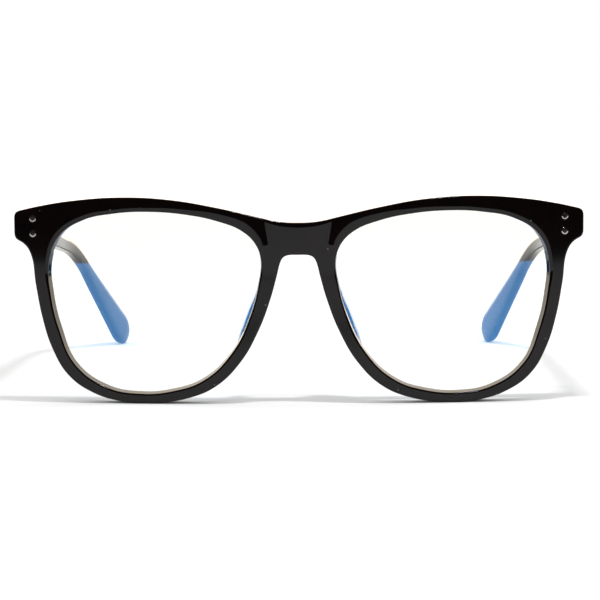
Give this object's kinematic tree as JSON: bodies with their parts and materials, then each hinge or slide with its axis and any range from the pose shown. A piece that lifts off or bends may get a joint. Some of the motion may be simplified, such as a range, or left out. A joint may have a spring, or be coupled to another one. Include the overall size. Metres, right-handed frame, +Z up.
{
  "type": "glasses",
  "caption": "Full-rim black plastic glasses with a soft square front, clear blue-reflecting lenses, riveted hinges and folding temples with paddle tips.",
  "frame": {"origin": "on the surface the open glasses stand on, midway between the outer sides and midway between the foremost point of the front and the temple tips", "axes": "+X to the wearer's left, across the front; +Y from the front towards the temple tips; +Z up"},
  "size_m": [0.1434, 0.1342, 0.052],
  "materials": {
    "frame": "polished black",
    "temple": "polished black",
    "pad": "polished black",
    "lens": "clear, with a coating that reflects blue",
    "hinge": "satin",
    "rivet": "polished"
  },
  "bodies": {
    "front": {"front_frame": "frame", "lens_left": "lens", "lens_right": "lens", "nose_pad_left": "pad", "nose_pad_right": "pad", "front_hinge_left": "hinge", "front_hinge_right": "hinge", "hinge_screw_left": "hinge", "hinge_screw_right": "hinge", "front_rivet_low_left": "rivet", "front_rivet_high_left": "rivet", "front_rivet_low_right": "rivet", "front_rivet_high_right": "rivet"},
    "left_temple": {"temple_left": "temple", "temple_hinge_left": "hinge", "temple_rivet_fore_left": "rivet", "temple_rivet_aft_left": "rivet"},
    "right_temple": {"temple_right": "temple", "temple_hinge_right": "hinge", "temple_rivet_fore_right": "rivet", "temple_rivet_aft_right": "rivet"}
  },
  "joints": [
    {"name": "temple_left_fold", "type": "hinge", "parent": "front", "child": "left_temple", "pos_m": [0.0667, -0.05488, 0.0447], "axis": [0, 0, 1], "range_deg": [0, 85]},
    {"name": "temple_right_fold", "type": "hinge", "parent": "front", "child": "right_temple", "pos_m": [-0.0667, -0.05488, 0.0447], "axis": [0, 0, -1], "range_deg": [0, 81]}
  ]
}
